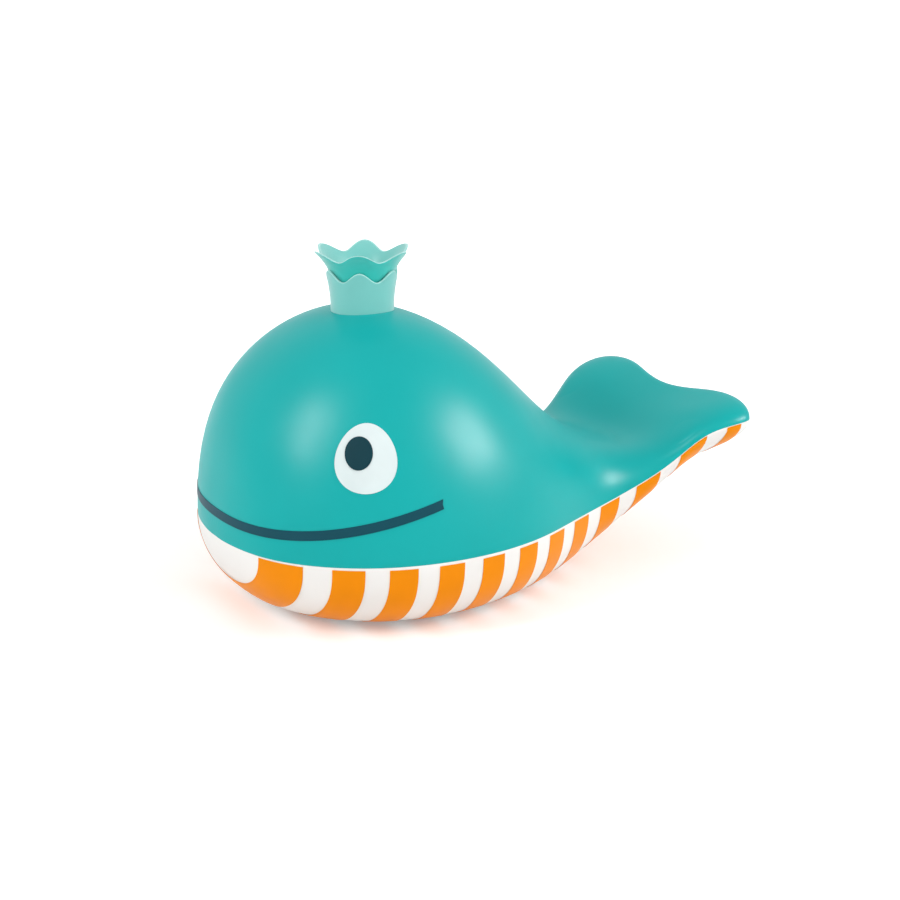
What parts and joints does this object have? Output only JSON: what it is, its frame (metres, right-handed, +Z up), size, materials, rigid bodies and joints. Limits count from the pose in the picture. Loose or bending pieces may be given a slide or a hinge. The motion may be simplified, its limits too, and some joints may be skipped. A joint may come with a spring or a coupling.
{
  "type": "squeeze bath toy",
  "caption": "Whale-shaped soft squeeze toy for the bath, with a two-tier petalled crown that blows bubbles and a squeaker in the belly.",
  "frame": {"origin": "centre of the toy's outline seen from above, on the flat that the belly rests on", "axes": "+X from the nose to the tail, +Y to the whale's right side, +Z up along the crown's axis"},
  "size_m": [0.165, 0.1146, 0.104],
  "materials": {
    "back_vinyl": "soft satin vinyl, teal",
    "belly_vinyl": "soft satin vinyl, warm white",
    "stripe_ink": "orange ink film on the vinyl, satin",
    "slate_ink": "dark slate ink film on the vinyl, satin",
    "eye_ink": "white ink film on the vinyl, satin",
    "crown_vinyl": "soft satin vinyl, light aqua",
    "stem_plastic": "hard moulded plastic, white",
    "squeaker_plastic": "hard moulded plastic, white",
    "reed_film": "thin polyester film"
  },
  "bodies": {
    "body": {"back_shell": "back_vinyl", "belly_shell": "belly_vinyl", "belly_stripes": "stripe_ink", "mouth_line": "slate_ink", "eye_white_left": "eye_ink", "eye_white_right": "eye_ink", "pupil_left": "slate_ink", "pupil_right": "slate_ink", "squeaker_cup": "squeaker_plastic", "squeaker_cap": "squeaker_plastic", "reed_bed": "squeaker_plastic", "reed_clamp": "squeaker_plastic"},
    "crown": {"crown_collar": "crown_vinyl", "crown_ring": "crown_vinyl", "spout_stem": "stem_plastic", "spout_retainer": "stem_plastic"},
    "reed": {"reed": "reed_film"}
  },
  "joints": [
    {"name": "crown_press", "type": "slide", "parent": "body", "child": "crown", "axis": [0, 0, 1], "range_m": [-0.008, 0], "stiffness_N_per_m": 800, "deforming": ["back_shell"]},
    {"name": "reed_beat", "type": "hinge", "parent": "body", "child": "reed", "pos_m": [-0.02724, 0, 0.00915], "axis": [0, 1, 0], "range_deg": [-2, 2], "stiffness_Nm_per_rad": 0.000005}
  ]
}
